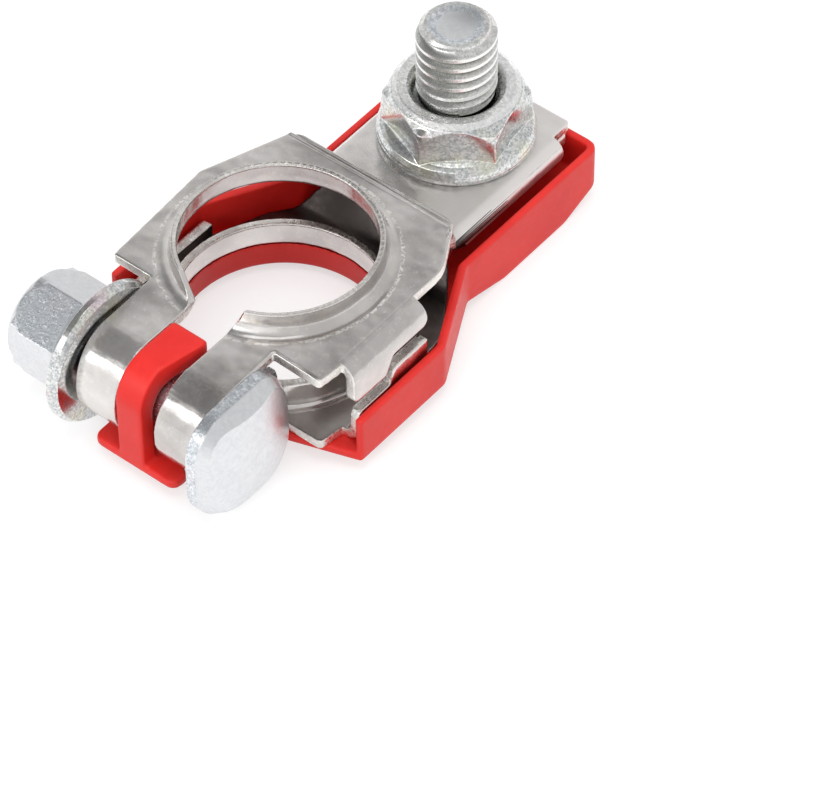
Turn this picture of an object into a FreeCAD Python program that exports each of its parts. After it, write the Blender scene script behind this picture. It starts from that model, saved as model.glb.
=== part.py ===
import FreeCAD, Part
import math
import os

# Battery terminal clamp, in millimetres.
# The origin is on the axis of the battery post, at the middle of the lower collar's wall.
# The sizes below are measured up from the lowest face of the plastic cover, and the finished
# pieces are set down by origin_height at the end.
# +X runs along the clamp bolt from its nut to its head, +Y from the jaws to the cable stud, +Z up.

V = FreeCAD.Vector

# Pressed sheet of the clamp
sheet = 1.1
bend_inside = 0.7
upper_bore_radius = 9.4
lower_bore_radius = 9.9
collar_ledge = 0.3

# Each collar: height above its plate, wall, slope of the rim, flare below and root above
upper_height = 2.3
upper_wall = 0.55
upper_rim_slope = 0.15
upper_flare = 1.9
upper_root = 1.2
lower_height = 3.05
lower_wall = 0.88
lower_rim_slope = 0.0
lower_flare = 2.4
lower_root = 0.55

# Clamp bolt and the ears rolled round it
bolt_radius = 2.95
bolt_y = -15.9
ear_radius = 5.2
ear_left_x = -7.35
ear_right_x = 7.75
jaw_left_x = -2.05
jaw_right_x = 2.75

# Ring part of the sheet, seen from above
upper_front_y = -9.55
upper_right_front_y = -9.95
lower_front_y = -9.25
left_front_x = -11.95
left_rear_x = -12.8
left_rear_y = 3.7
rear_corner_x = -9.3
right_front_x = 13.1
right_notch_x = 13.4
lower_right_front_x = 12.45
lower_notch_x = 12.8
neck_x = 13.1
neck_y = 8.0
neck_round = 9.0
neck_end_x = 10.1
neck_end_y = 13.2
corner_round = 0.5

# Flanges at the two sides of the ring part
flange_x = 14.8
flange_front_y = -7.0
flange_rear_y = 3.6
flange_step_y = -1.9
flange_gap_y = 0.5
upper_flange_depth_front = 4.6
upper_flange_depth_rear = 2.6
lower_flange_height_front = 4.2
lower_flange_height_rear = 6.0
flange_round = 0.8
left_flange_x = -13.2
left_flange_height = 3.1
left_flange_rear_y = 4.3

# Step down to the cable seat, and the seat with its rolled sides
step_y = 13.8
step_run = 1.1
step_drop = 4.4
step_outside = 1.6
step_inside = 0.6
seat_right_x = 9.05
seat_left_x = -8.15
seat_bend = 0.25
seat_side_depth = 2.0
seat_side_slant = 1.4
seat_side_rear_y = 31.5
seat_side_round = 0.5
seat_side_play = 0.05
tongue_rear_y = 34.2
lower_tongue_setback = 0.7
ramp_start_y = 13.0
ramp_end_y = 16.6
ramp_round = 1.5

# Cable stud and its flange nut
stud_y = 26.3
thread_radius = 3.9
thread_pitch_radius = 3.6
stud_rise = 14.1
stud_end_chamfer = 0.8
stud_end_dish = 0.35
stud_neck_radius = 4.3
stud_head_radius = 6.5
stud_head_height = 4.0
stud_head_chamfer = 0.6

# Flange nuts, one for the cable stud and a smaller one for the clamp bolt
cable_nut_flats = 12.6
cable_nut_height = 6.5
cable_nut_flange_radius = 7.75
cable_nut_cone_top = 2.4
cable_nut_turn = 39.0
clamp_nut_flats = 9.4
clamp_nut_height = 8.7
clamp_nut_flange_radius = 7.3
clamp_nut_cone_top = 2.9
clamp_nut_turn = -3.0
cable_nut_flange_edge = 1.2
clamp_nut_flange_edge = 1.5
nut_crown_inset = 0.6
nut_crown_edge = 0.5
nut_crown_drop = 2.1
nut_thread_play = 0.08
nut_mouth = 1.1

# Head of the clamp bolt
head_thick = 3.4
head_half_width = 6.6
head_up = 5.3
head_down = 7.3
head_band = 1.3
head_bevel = 1.45
head_round_top = 3.7
head_round_bottom = 4.8
head_dome_radius = 22.0
head_dimple_radius = 1.1
head_dimple_depth = 0.15
bolt_end_inset = 1.0
bolt_end_chamfer = 0.6

# Plastic cover
cover_drop = 1.3
cover_floor = 1.0
cover_wall = 0.8
cover_wall_top = 6.7
cover_bore_play = 0.06
cover_lip_play = 0.04
cover_right_x = 15.8
cover_left_x = -14.7
cover_front_y = -7.4
cover_middle_front_y = -10.2
cover_middle_half = 8.6
cover_head_side_x = 7.3
cover_head_side_y = -9.75
cover_shoulder_y = 4.9
cover_neck_y = 14.3
cover_stud_right_x = 10.9
cover_stud_left_x = -9.5
cover_rear_y = 34.8
cover_corner = 1.2
belly_start_y = 14.5
belly_front_y = 20.0
belly_rear_y = 29.5
belly_rise = 1.8
tab_left_x = -5.2
tab_right_x = 4.8
tab_neck_left_x = -3.4
tab_neck_right_x = 3.05
tab_front_y = -20.95
tab_side_y = -19.1
tab_shoulder_y = -17.95
tab_corner = 1.0

# Strap of the cover that hooks over the clamp bolt between the ears
hook_left_x = -2.0
hook_right_x = 1.1
hook_front_y = tab_front_y
hook_end_y = -12.4
hook_inside = 3.3
hook_over = 2.15
hook_round = 3.9
hook_tip_round = 0.5

# Heights that follow from the sizes above
ear_inside = ear_radius - sheet
lower_bottom = cover_drop + cover_floor
lower_top = lower_bottom + sheet
bolt_z = lower_bottom + ear_radius
upper_top = bolt_z + ear_radius
upper_bottom = upper_top - sheet
seat_top = upper_top - step_drop
seat_bottom = seat_top - sheet
under_seat = seat_bottom - sheet
bend_outside = bend_inside + sheet
seat_bend_outside = seat_bend + sheet
seat_front_y = step_y + step_run
cover_bore_radius = lower_bore_radius + cover_bore_play
origin_height = lower_bottom + (lower_flare + sheet + lower_height) / 2
past = 1.0
wide = 60.0
tall = 40.0


def plan(u, v):
    return V(u, v, 0)


def side(u, v):
    return V(0, u, v)


def front(u, v):
    return V(u, 0, v)


ACROSS = {plan: V(0, 0, 1), side: V(1, 0, 0), front: V(0, 1, 0)}


def unit(a, b):
    length = math.hypot(b[0] - a[0], b[1] - a[1])
    return ((b[0] - a[0]) / length, (b[1] - a[1]) / length)


def rounded_face(corners, plane):
    """A face whose straight edges run between corners (u, v) or (u, v, radius)."""
    count = len(corners)
    starts, ends, middles = [], [], []
    for i in range(count):
        here = corners[i]
        radius = here[2] if len(here) > 2 else 0.0
        if radius <= 0.0:
            starts.append(here[:2])
            ends.append(here[:2])
            middles.append(None)
            continue
        back = unit(here, corners[i - 1])
        on = unit(here, corners[(i + 1) % count])
        half = math.acos(max(-1.0, min(1.0, back[0] * on[0] + back[1] * on[1]))) / 2
        cut = radius / math.tan(half)
        reach = radius / math.sin(half) - radius
        inward = unit((0, 0), (back[0] + on[0], back[1] + on[1]))
        starts.append((here[0] + back[0] * cut, here[1] + back[1] * cut))
        ends.append((here[0] + on[0] * cut, here[1] + on[1] * cut))
        middles.append((here[0] + inward[0] * reach, here[1] + inward[1] * reach))
    edges = []
    for i in range(count):
        if middles[i]:
            edges.append(Part.Arc(plane(*starts[i]), plane(*middles[i]), plane(*ends[i])).toShape())
        after = starts[(i + 1) % count]
        if math.hypot(after[0] - ends[i][0], after[1] - ends[i][1]) > 1e-6:
            edges.append(Part.LineSegment(plane(*ends[i]), plane(*after)).toShape())
    return Part.Face(Part.Wire(edges))


def prism(corners, plane, start, stop):
    face = rounded_face(corners, plane)
    face.translate(ACROSS[plane] * start)
    return face.extrude(ACROSS[plane] * (stop - start))


def strip_section(path, thickness):
    """Closed section of bent sheet beside a path of (u, v, inside bend radius).

    A positive thickness lies to the left of the path and a negative one to its right.
    """
    count = len(path)
    along = [unit(path[i], path[i + 1]) for i in range(count - 1)]
    first, second = [], []
    for i, point in enumerate(path):
        before = along[max(i - 1, 0)]
        after = along[min(i, count - 2)]
        normal = (-(before[1] + after[1]), before[0] + after[0])
        size = math.hypot(*normal)
        normal = (normal[0] / size, normal[1] / size)
        stretch = normal[0] * -before[1] + normal[1] * before[0]
        shift = thickness / stretch
        moved = (point[0] + normal[0] * shift, point[1] + normal[1] * shift)
        turn = before[0] * after[1] - before[1] * after[0]
        radius = point[2] if len(point) > 2 else 0.0
        if radius <= 0.0:
            first.append((point[0], point[1]))
            second.append(moved)
            continue
        inside_is_second = turn * thickness > 0
        outer = radius + abs(thickness)
        first.append((point[0], point[1], outer if inside_is_second else radius))
        second.append((moved[0], moved[1], radius if inside_is_second else outer))
    return first + second[::-1]


def revolve(profile):
    """A ring about the Z axis from a closed profile of (radius, z) corners."""
    return rounded_face(profile, front).revolve(V(0, 0, 0), V(0, 0, 1), 360)


def fuse(shapes):
    return shapes[0].multiFuse(shapes[1:]).removeSplitter()


def collar(bore_radius, plate_bottom, height, wall, rim_slope, flare, root):
    """Post collar turned up out of a plate, still without its bore."""
    plate_top = plate_bottom + sheet
    outer_top = plate_top + height
    outside = bore_radius + wall
    reach = bore_radius + flare + collar_ledge
    slant = root * (1 - math.sqrt(0.5))
    root_end = V(outside + root, 0, plate_top)
    root_middle = V(outside + slant, 0, plate_top + slant)
    root_start = V(outside, 0, plate_top + root)
    edges = [
        Part.LineSegment(V(0, 0, plate_bottom), V(reach, 0, plate_bottom)).toShape(),
        Part.LineSegment(V(reach, 0, plate_bottom), V(reach, 0, plate_top)).toShape(),
        Part.LineSegment(V(reach, 0, plate_top), root_end).toShape(),
        Part.Arc(root_end, root_middle, root_start).toShape(),
        Part.LineSegment(root_start, V(outside, 0, outer_top)).toShape(),
        Part.LineSegment(V(outside, 0, outer_top), V(bore_radius, 0, outer_top - rim_slope)).toShape(),
        Part.LineSegment(V(bore_radius, 0, outer_top - rim_slope), V(0, 0, outer_top - rim_slope)).toShape(),
        Part.LineSegment(V(0, 0, outer_top - rim_slope), V(0, 0, plate_bottom)).toShape(),
    ]
    return Part.Face(Part.Wire(edges)).revolve(V(0, 0, 0), V(0, 0, 1), 360)


def collar_bore(bore_radius, plate_bottom, height, flare):
    """Space of the post inside a collar, widened by the flare below."""
    top = plate_bottom + sheet + height + past
    low = plate_bottom - past
    slant = flare * (1 - math.sqrt(0.5))
    wall_foot = V(bore_radius, 0, plate_bottom + flare)
    flare_middle = V(bore_radius + slant, 0, plate_bottom + slant)
    flare_end = V(bore_radius + flare, 0, plate_bottom)
    edges = [
        Part.LineSegment(V(0, 0, low), V(flare_end.x, 0, low)).toShape(),
        Part.LineSegment(V(flare_end.x, 0, low), flare_end).toShape(),
        Part.Arc(flare_end, flare_middle, wall_foot).toShape(),
        Part.LineSegment(wall_foot, V(bore_radius, 0, top)).toShape(),
        Part.LineSegment(V(bore_radius, 0, top), V(0, 0, top)).toShape(),
        Part.LineSegment(V(0, 0, top), V(0, 0, low)).toShape(),
    ]
    return Part.Face(Part.Wire(edges)).revolve(V(0, 0, 0), V(0, 0, 1), 360)


def seat_side(seat_x):
    """Turned-down side of the cable seat, cut slantwise at its front end."""
    inward = -1 if seat_x > 0 else 1
    low = seat_top - seat_side_depth
    path = [
        (seat_x + inward * (seat_bend_outside + sheet), seat_top),
        (seat_x, seat_top, seat_bend),
        (seat_x, low),
    ]
    strip = prism(strip_section(path, sheet * inward), front, step_y, seat_side_rear_y)
    trim = [
        (seat_front_y - seat_side_round, tall),
        (seat_front_y - seat_side_round, seat_bottom),
        (seat_front_y + seat_side_slant, low),
        (seat_side_rear_y, low, seat_side_round),
        (seat_side_rear_y, tall),
    ]
    return strip.common(prism(trim, side, -wide, wide))


def upper_outline():
    flat_right = seat_right_x - seat_bend_outside
    flat_left = seat_left_x + seat_bend_outside
    flange_line = flange_x - bend_outside
    return [
        (ear_left_x, bolt_y),
        (ear_right_x, bolt_y),
        (ear_right_x, upper_right_front_y),
        (right_front_x, upper_right_front_y, corner_round),
        (right_notch_x, flange_front_y, corner_round / 2),
        (flange_line, flange_front_y),
        (flange_line, flange_rear_y),
        (neck_x, flange_rear_y),
        (neck_x, neck_y, neck_round / 2),
        (neck_end_x, neck_end_y, corner_round),
        (seat_right_x, step_y),
        (seat_right_x, seat_front_y),
        (flat_right, seat_front_y),
        (flat_right, tongue_rear_y, corner_round),
        (flat_left, tongue_rear_y, corner_round),
        (flat_left, seat_front_y),
        (seat_left_x, seat_front_y),
        (seat_left_x, step_y),
        (rear_corner_x, step_y - corner_round, corner_round),
        (left_rear_x, left_rear_y, corner_round * 2),
        (left_front_x, upper_front_y, corner_round / 2),
        (ear_left_x, upper_front_y),
    ]


def upper_sheet():
    """Upper plate, its step and the cable seat."""
    path = [
        (bolt_y, upper_top),
        (step_y, upper_top, step_outside - sheet),
        (seat_front_y, seat_top, step_inside),
        (tongue_rear_y, seat_top),
    ]
    plate = prism(strip_section(path, -sheet), side, -wide, wide)
    return plate.common(prism(upper_outline(), plan, 0, tall))


def upper_collar():
    ring = collar(
        upper_bore_radius, upper_bottom, upper_height, upper_wall, upper_rim_slope, upper_flare, upper_root
    )
    return ring.common(prism(upper_outline(), plan, 0, tall))


def lower_outline():
    flange_line = flange_x - bend_outside
    left_line = left_flange_x + bend_outside
    inside_right = seat_right_x - sheet - seat_side_play
    inside_left = seat_left_x + sheet + seat_side_play
    return [
        (ear_left_x, bolt_y),
        (ear_right_x, bolt_y),
        (ear_right_x, lower_front_y),
        (lower_right_front_x, lower_front_y, corner_round),
        (lower_notch_x, flange_front_y + flange_gap_y),
        (flange_line, flange_front_y + flange_gap_y),
        (flange_line, flange_rear_y),
        (neck_x, flange_rear_y),
        (neck_x, neck_y, neck_round / 2),
        (seat_right_x, step_y),
        (inside_right, seat_front_y),
        (inside_right, tongue_rear_y - lower_tongue_setback, corner_round),
        (inside_left, tongue_rear_y - lower_tongue_setback, corner_round),
        (inside_left, seat_front_y),
        (rear_corner_x - sheet, step_y - bend_outside * 2, neck_round / 2),
        (left_rear_x, left_flange_rear_y),
        (left_line, left_flange_rear_y),
        (left_line, flange_front_y),
        (left_front_x, flange_front_y),
        (left_front_x, lower_front_y, corner_round / 2),
        (ear_left_x, lower_front_y),
    ]


def lower_sheet():
    """Lower plate and the ramp that brings it up under the cable seat."""
    path = [
        (bolt_y, lower_bottom),
        (ramp_start_y, lower_bottom, ramp_round),
        (ramp_end_y, under_seat, ramp_round),
        (tongue_rear_y, under_seat),
    ]
    plate = prism(strip_section(path, sheet), side, -wide, wide)
    return plate.common(prism(lower_outline(), plan, 0, tall))


def lower_collar():
    ring = collar(
        lower_bore_radius, lower_bottom, lower_height, lower_wall, lower_rim_slope, lower_flare, lower_root
    )
    return ring.common(prism(lower_outline(), plan, 0, tall))


def upper_flange():
    """Flange bent down at the right of the upper plate, deeper in front."""
    low_front = upper_top - upper_flange_depth_front
    low_rear = upper_top - upper_flange_depth_rear
    path = [
        (flange_x - bend_outside - sheet, upper_top),
        (flange_x, upper_top, bend_inside),
        (flange_x, low_front),
    ]
    flange = prism(strip_section(path, -sheet), front, flange_front_y, flange_rear_y)
    trim = [
        (flange_front_y, low_front, flange_round),
        (flange_step_y - flange_gap_y, low_front, flange_round / 2),
        (flange_step_y + flange_gap_y, low_rear, flange_round / 2),
        (flange_rear_y, low_rear, flange_round),
        (flange_rear_y, tall),
        (flange_front_y, tall),
    ]
    return flange.common(prism(trim, side, -wide, wide))


def lower_flange():
    """Flange bent up at the right of the lower plate, taller behind."""
    high_front = lower_bottom + lower_flange_height_front
    high_rear = lower_bottom + lower_flange_height_rear
    start = flange_front_y + flange_gap_y
    path = [
        (flange_x - bend_outside - sheet, lower_bottom),
        (flange_x, lower_bottom, bend_inside),
        (flange_x, high_rear),
    ]
    flange = prism(strip_section(path, sheet), front, start, flange_rear_y)
    trim = [
        (start, high_front, flange_round),
        (start, 0),
        (flange_rear_y, 0),
        (flange_rear_y, high_rear, flange_round / 2),
        (flange_step_y + flange_gap_y, high_rear, flange_round),
        (flange_step_y, high_front, flange_round / 2),
    ]
    return flange.common(prism(trim, side, -wide, wide))


def left_flange():
    """Low flange bent up at the left of the lower plate."""
    path = [
        (left_flange_x + bend_outside + sheet, lower_bottom),
        (left_flange_x, lower_bottom, bend_inside),
        (left_flange_x, lower_bottom + left_flange_height),
    ]
    return prism(strip_section(path, -sheet), front, flange_front_y, left_flange_rear_y)


def ears():
    """Two ears rolled round the clamp bolt, which join the plates."""
    axis = V(0, bolt_y, bolt_z)
    outside = Part.makeCylinder(ear_radius, wide, axis - V(wide / 2, 0, 0), V(1, 0, 0))
    inside = Part.makeCylinder(ear_inside, wide, axis - V(wide / 2, 0, 0), V(1, 0, 0))
    front_half = Part.makeBox(wide, tall, tall, V(-wide / 2, bolt_y - tall, 0))
    knuckle = outside.cut(inside).common(front_half)
    span = Part.makeBox(ear_right_x - ear_left_x, tall, tall, V(ear_left_x, bolt_y - tall, 0))
    return knuckle.common(span)


def jaw_slot():
    """Gap that parts the ears and opens both collars at the front."""
    width = jaw_right_x - jaw_left_x
    return Part.makeBox(width, tall, tall, V(jaw_left_x, -tall, 0))


def stud_hole():
    return Part.makeCylinder(stud_neck_radius, tall, V(0, stud_y, 0))


def clamp_body():
    sides = [seat_side(seat_right_x), seat_side(seat_left_x)]
    upper = fuse([upper_sheet(), upper_collar(), upper_flange()] + sides)
    upper = upper.cut(collar_bore(upper_bore_radius, upper_bottom, upper_height, upper_flare))
    lower = fuse([lower_sheet(), lower_collar(), lower_flange(), left_flange()])
    lower = lower.cut(collar_bore(lower_bore_radius, lower_bottom, lower_height, lower_flare))
    body = fuse([upper, lower, ears()])
    return body.cut(jaw_slot()).cut(stud_hole()).removeSplitter()


def flange_nut(flats, height, flange_radius, flange_edge, cone_top, bore, turn):
    """Hexagon nut with a round flange, standing on its flange at the origin."""
    corner = flats / 2 / math.cos(math.radians(30))
    points = []
    for k in range(6):
        angle = math.radians(60 * k + turn)
        points.append((corner * math.cos(angle), corner * math.sin(angle)))
    hexagon = prism(points, plan, 0, height)
    crown = [
        (0, 0),
        (corner + past, 0),
        (corner + past, height - nut_crown_drop),
        (corner, height - nut_crown_drop),
        (flats / 2, height - nut_crown_edge),
        (flats / 2 - nut_crown_inset, height),
        (0, height),
    ]
    hexagon = hexagon.common(revolve(crown))
    skirt = [
        (0, 0),
        (flange_radius - flange_edge / 4, 0),
        (flange_radius, flange_edge / 3),
        (flange_radius, flange_edge - flange_edge / 4),
        (flange_radius - flange_edge / 3, flange_edge),
        (flats / 2, cone_top),
        (0, cone_top),
    ]
    thread = [
        (0, -past),
        (bore + nut_mouth + past, -past),
        (bore, nut_mouth),
        (bore, height - nut_mouth),
        (bore + nut_mouth + past, height + past),
        (0, height + past),
    ]
    return hexagon.fuse(revolve(skirt)).cut(revolve(thread)).removeSplitter()


def clamp_nut():
    bore = bolt_radius + nut_thread_play
    nut = flange_nut(
        clamp_nut_flats,
        clamp_nut_height,
        clamp_nut_flange_radius,
        clamp_nut_flange_edge,
        clamp_nut_cone_top,
        bore,
        clamp_nut_turn,
    )
    nut.rotate(V(0, 0, 0), V(0, 1, 0), -90)
    nut.translate(V(ear_left_x, bolt_y, bolt_z))
    return nut


def cable_nut():
    bore = thread_pitch_radius + nut_thread_play
    nut = flange_nut(
        cable_nut_flats,
        cable_nut_height,
        cable_nut_flange_radius,
        cable_nut_flange_edge,
        cable_nut_cone_top,
        bore,
        cable_nut_turn,
    )
    nut.translate(V(0, stud_y, seat_top))
    return nut


def head_outline(inset):
    """Outline of the clamp bolt's head, moved inward by an inset."""
    near = bolt_y - head_half_width + inset
    far = bolt_y + head_half_width - inset
    low = bolt_z - head_down + inset
    high = bolt_z + head_up - inset
    return [
        (near, low, head_round_bottom - inset),
        (far, low, head_round_bottom - inset),
        (far, high, head_round_top - inset),
        (near, high, head_round_top - inset),
    ]


def bolt_head():
    """Flat band against the ear, then a wide bevel up to a domed face with a dimple."""
    top = ear_right_x + head_thick
    middle_z = bolt_z + (head_up - head_down) / 2
    band = prism(head_outline(0), side, ear_right_x, ear_right_x + head_band)
    foot = rounded_face(head_outline(0), side).OuterWire
    foot.translate(V(ear_right_x + head_band, 0, 0))
    face = rounded_face(head_outline(head_bevel), side).OuterWire
    face.translate(V(top, 0, 0))
    bevel = Part.makeLoft([foot, face], True, True)
    dome = Part.makeSphere(head_dome_radius, V(top - head_dome_radius, bolt_y, middle_z))
    dimple_ball = (head_dimple_radius ** 2 + head_dimple_depth ** 2) / (2 * head_dimple_depth)
    dimple = Part.makeSphere(dimple_ball, V(top + dimple_ball - head_dimple_depth, bolt_y, middle_z))
    return fuse([band, bevel]).common(dome).cut(dimple)


def t_bolt():
    """Clamp bolt with a domed head that is cut flat on top."""
    start = ear_left_x - clamp_nut_height + bolt_end_inset
    length = ear_right_x - start + head_band / 2
    shank_profile = [
        (0, 0),
        (bolt_radius - bolt_end_chamfer, 0),
        (bolt_radius, bolt_end_chamfer),
        (bolt_radius, length),
        (0, length),
    ]
    shank = revolve(shank_profile)
    shank.rotate(V(0, 0, 0), V(0, 1, 0), 90)
    shank.translate(V(start, bolt_y, bolt_z))
    return fuse([shank, bolt_head()])


def cable_stud():
    """Stud with a round flat head under the seat, at pitch size inside its nut."""
    nut_top = seat_top + cable_nut_height
    profile = [
        (0, under_seat - stud_head_height),
        (stud_head_radius - stud_head_chamfer, under_seat - stud_head_height),
        (stud_head_radius, under_seat - stud_head_height + stud_head_chamfer),
        (stud_head_radius, under_seat),
        (stud_neck_radius, under_seat),
        (stud_neck_radius, seat_bottom),
        (thread_pitch_radius, seat_bottom),
        (thread_pitch_radius, nut_top - (thread_radius - thread_pitch_radius)),
        (thread_radius, nut_top),
        (thread_radius, seat_top + stud_rise - stud_end_chamfer),
        (thread_radius - stud_end_chamfer, seat_top + stud_rise),
        (thread_radius / 2, seat_top + stud_rise),
        (0, seat_top + stud_rise - stud_end_dish),
    ]
    stud = revolve(profile)
    stud.translate(V(0, stud_y, 0))
    return stud


def cover_outline(inset, front_y):
    """Outline of the cover from a front line back, moved inward by an inset."""
    right = cover_right_x - inset
    left = cover_left_x + inset
    stud_right = cover_stud_right_x - inset
    stud_left = cover_stud_left_x + inset
    rear = cover_rear_y - inset
    corner = max(cover_corner - inset, corner_round)
    shift = inset / 2
    return [
        (right, front_y),
        (right, cover_shoulder_y - shift, corner),
        (stud_right, cover_neck_y - shift, corner),
        (stud_right, rear, corner),
        (stud_left, rear, corner),
        (stud_left, cover_neck_y - shift, corner),
        (left, cover_shoulder_y - shift, corner),
        (left, front_y),
    ]


def underside(lift, reach):
    """Side view of the space above the cover's floor, whose rear part hangs lower."""
    return [
        (-wide, cover_drop + lift),
        (belly_start_y, cover_drop + lift, belly_rise),
        (belly_front_y, lift, belly_rise),
        (belly_rear_y, lift, belly_rise),
        (cover_rear_y + reach, belly_rise * (1 + reach / (cover_rear_y - belly_rear_y)) + lift),
        (cover_rear_y + reach, tall),
        (-wide, tall),
    ]


def floor_outline():
    tab = [
        (-cover_middle_half, cover_middle_front_y),
        (tab_neck_left_x, cover_middle_front_y, corner_round),
        (tab_neck_left_x, tab_shoulder_y, corner_round / 2),
        (tab_left_x, tab_shoulder_y, corner_round),
        (tab_left_x, tab_front_y, tab_corner),
        (tab_right_x, tab_front_y, tab_corner),
        (tab_right_x, tab_side_y),
        (tab_neck_right_x, tab_shoulder_y),
        (tab_neck_right_x, cover_middle_front_y, corner_round),
        (cover_head_side_x, cover_middle_front_y),
        (cover_head_side_x, cover_head_side_y),
        (cover_middle_half, cover_head_side_y),
    ]
    return tab + cover_outline(0, cover_front_y)


def cover_lip():
    """Ring of the cover's post hole, which fills the flare under the lower collar."""
    centre = V(lower_bore_radius + lower_flare, 0, lower_bottom + lower_flare)
    radius = lower_flare + cover_lip_play
    high_x = cover_bore_radius
    high = V(high_x, 0, centre.z - math.sqrt(radius ** 2 - (centre.x - high_x) ** 2))
    low = V(centre.x - math.sqrt(radius ** 2 - lower_flare ** 2), 0, lower_bottom)
    first = math.atan2(high.z - centre.z, high.x - centre.x)
    last = math.atan2(low.z - centre.z, low.x - centre.x)
    angle = (first + last) / 2
    middle = centre + V(math.cos(angle), 0, math.sin(angle)) * radius
    foot = V(low.x, 0, lower_bottom - cover_floor / 2)
    inner_foot = V(cover_bore_radius, 0, lower_bottom - cover_floor / 2)
    edges = [
        Part.LineSegment(inner_foot, high).toShape(),
        Part.Arc(high, middle, low).toShape(),
        Part.LineSegment(low, foot).toShape(),
        Part.LineSegment(foot, inner_foot).toShape(),
    ]
    return Part.Face(Part.Wire(edges)).revolve(V(0, 0, 0), V(0, 0, 1), 360)


def hook():
    """Strap that rises in front of the bolt and bends back over it."""
    inside_front = bolt_y - hook_inside
    inside_top = bolt_z + hook_inside
    outside_top = inside_top + hook_over
    profile = [
        (hook_front_y, lower_bottom - cover_floor / 2),
        (inside_front, lower_bottom - cover_floor / 2),
        (inside_front, inside_top, hook_inside),
        (hook_end_y, inside_top),
        (hook_end_y, outside_top, hook_tip_round),
        (hook_front_y, outside_top, hook_round),
    ]
    return prism(profile, side, hook_left_x, hook_right_x)


def insulating_cover():
    """Open tray under the clamp with a tab and a hooked strap at the front."""
    block = prism(cover_outline(0, cover_front_y), plan, 0, cover_wall_top)
    block = block.fuse(prism(floor_outline(), plan, 0, lower_bottom))
    block = block.common(prism(underside(0, 1), side, -wide, wide))
    room = prism(cover_outline(cover_wall, -tall), plan, 0, tall)
    room = room.common(prism(underside(cover_floor, 0), side, -wide, wide))
    cover = block.cut(room)
    cover = cover.cut(Part.makeCylinder(cover_bore_radius, tall, V(0, 0, -tall / 2)))
    return fuse([cover, cover_lip(), hook()])


PARTS = {
    "clamp_body": clamp_body,
    "insulating_cover": insulating_cover,
    "t_bolt": t_bolt,
    "clamp_nut": clamp_nut,
    "cable_stud": cable_stud,
    "cable_nut": cable_nut,
}


def main():
    os.makedirs("parts", exist_ok=True)
    for name, make in PARTS.items():
        shape = make()
        shape.translate(V(0, 0, -origin_height))
        print(name, "solids", len(shape.Solids), "valid", shape.isValid(), "volume", round(shape.Volume, 1))
        shape.exportStep(os.path.join("parts", name + ".step"))


main()
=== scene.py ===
import math

import bmesh
import bpy
from mathutils import Matrix, Vector, bvhtree


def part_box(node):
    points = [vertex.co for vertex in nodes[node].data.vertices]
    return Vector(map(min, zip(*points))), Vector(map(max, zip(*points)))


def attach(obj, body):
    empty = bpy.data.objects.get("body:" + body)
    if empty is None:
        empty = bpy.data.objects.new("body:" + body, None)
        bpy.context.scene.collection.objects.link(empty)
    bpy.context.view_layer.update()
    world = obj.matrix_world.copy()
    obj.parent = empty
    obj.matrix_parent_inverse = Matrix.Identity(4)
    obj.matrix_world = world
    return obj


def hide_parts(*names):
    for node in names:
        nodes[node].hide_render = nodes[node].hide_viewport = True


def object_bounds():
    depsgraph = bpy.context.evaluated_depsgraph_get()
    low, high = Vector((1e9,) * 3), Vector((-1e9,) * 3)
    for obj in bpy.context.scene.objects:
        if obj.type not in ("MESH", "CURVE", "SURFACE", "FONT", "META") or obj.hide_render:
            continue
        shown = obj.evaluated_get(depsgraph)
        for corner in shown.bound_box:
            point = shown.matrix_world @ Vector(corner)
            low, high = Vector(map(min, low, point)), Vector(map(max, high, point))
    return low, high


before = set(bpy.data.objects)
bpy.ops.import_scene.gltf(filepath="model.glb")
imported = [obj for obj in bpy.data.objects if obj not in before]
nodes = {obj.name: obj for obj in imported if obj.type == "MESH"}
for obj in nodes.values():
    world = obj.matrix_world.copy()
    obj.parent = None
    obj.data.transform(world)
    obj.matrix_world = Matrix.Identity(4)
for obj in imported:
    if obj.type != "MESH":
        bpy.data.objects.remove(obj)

# Looks of the battery terminal clamp, in metres, round the solids of the frame.

solid_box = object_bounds()
mm = 0.001

# Places and sizes of the solids, with the post's axis at x = y = 0
base_z = solid_box[0].z
sheet = 1.1 * mm
collar_root_radius = 11.5 * mm
bolt_y = -15.9 * mm
bolt_z = base_z + 7.5 * mm
jaw_left_x = -2.05 * mm
jaw_right_x = 2.75 * mm
seat_front_y = 14.9 * mm
ear_left_x = -7.35 * mm
ear_right_x = 7.75 * mm
head_band = 1.3 * mm
stud_y = 26.3 * mm
stud_radius = 3.9 * mm
stud_chamfer = 0.8 * mm
stud_top_z = base_z + 22.4 * mm
nut_height = 6.5 * mm
nut_top_z = base_z + 14.8 * mm
upper_top_z = base_z + 12.7 * mm
upper_under_z = base_z + 11.4 * mm
under_seat_z = base_z + 6.1 * mm
seat_bottom_z = base_z + 7.2 * mm
rim_z = base_z + 15.0 * mm


# Camera, at the photograph's viewing angle

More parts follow.
